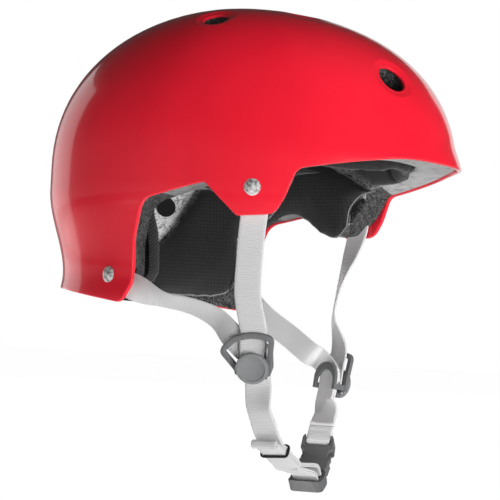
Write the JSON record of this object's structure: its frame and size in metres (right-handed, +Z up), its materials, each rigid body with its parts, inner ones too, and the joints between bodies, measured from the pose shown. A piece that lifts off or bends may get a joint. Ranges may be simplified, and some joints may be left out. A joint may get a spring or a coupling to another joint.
{
  "type": "skate helmet",
  "caption": "Round skate helmet with a moulded vented shell, foam liner, fabric pads and a webbing chin harness with strap dividers and a side-release buckle.",
  "frame": {"origin": "centre of the head space, on the level of the shell's widest section", "axes": "+Z up, -Y to the wearer's front, +X to the wearer's left"},
  "size_m": [0.209, 0.2749, 0.3039],
  "materials": {
    "shell": "gloss injection-moulded red plastic",
    "foam": "grey beaded foam with dark specks",
    "pad": "black ripstop fabric over soft foam",
    "hook": "black fuzzy hook dot",
    "rivet": "plated domed steel",
    "washer": "plain steel",
    "webbing": "light grey ribbed woven tape",
    "divider": "satin mid-grey plastic",
    "lever": "satin mid-grey plastic",
    "pin": "drawn steel wire",
    "ring": "black rubber",
    "buckle": "dark grey fine-grained plastic"
  },
  "bodies": {
    "helmet": {"outer_shell": "shell", "foam_liner": "foam", "brow_pad": "pad", "nape_pad": "pad", "crown_pad": "pad", "side_pad_right": "pad", "side_pad_left": "pad", "hook_dots": "hook", "side_rivets": "rivet", "rear_rivets": "rivet", "rivet_washers": "washer", "front_strap_right": "webbing", "front_strap_left": "webbing", "rear_strap_right": "webbing", "rear_strap_left": "webbing", "divider_frame_right": "divider", "divider_frame_left": "divider", "lever_pins": "pin", "chin_strap_left": "webbing", "buckle_female": "buckle"},
    "male_half": {"buckle_male": "buckle", "chin_strap_right": "webbing"},
    "prong_right": {"buckle_arm_right": "buckle"},
    "prong_left": {"buckle_arm_left": "buckle"},
    "keeper": {"keeper_ring": "ring"},
    "lever_right": {"divider_lever_right": "lever"},
    "lever_left": {"divider_lever_left": "lever"}
  },
  "joints": [
    {"name": "buckle_release", "type": "slide", "parent": "helmet", "child": "male_half", "axis": [-0.6895, -0.0847, -0.7193], "range_m": [0, 0.02], "deforming": ["buckle_arm_right", "buckle_arm_left", "chin_strap_right"]},
    {"name": "prong_right_squeeze", "type": "hinge", "parent": "male_half", "child": "prong_right", "pos_m": [0.00621, -0.05707, -0.19109], "axis": [-0.714, -0.0877, 0.6947], "range_deg": [0, 10], "stiffness_Nm_per_rad": 0.3},
    {"name": "prong_left_squeeze", "type": "hinge", "parent": "male_half", "child": "prong_left", "pos_m": [0.00486, -0.04605, -0.19109], "axis": [-0.714, -0.0877, 0.6947], "range_deg": [-10, 0], "stiffness_Nm_per_rad": 0.3},
    {"name": "keeper_slide", "type": "slide", "parent": "male_half", "child": "keeper", "axis": [0.8608, -0.1409, -0.4891], "range_m": [0, 0.008]},
    {"name": "lever_right_open", "type": "hinge", "parent": "helmet", "child": "lever_right", "pos_m": [-0.07469, -0.04186, -0.12779], "axis": [0.2334, -0.9724, 0], "range_deg": [0, 75]},
    {"name": "lever_left_open", "type": "hinge", "parent": "helmet", "child": "lever_left", "pos_m": [0.06998, -0.04099, -0.14026], "axis": [0.4695, 0.8829, 0], "range_deg": [0, 75]}
  ]
}
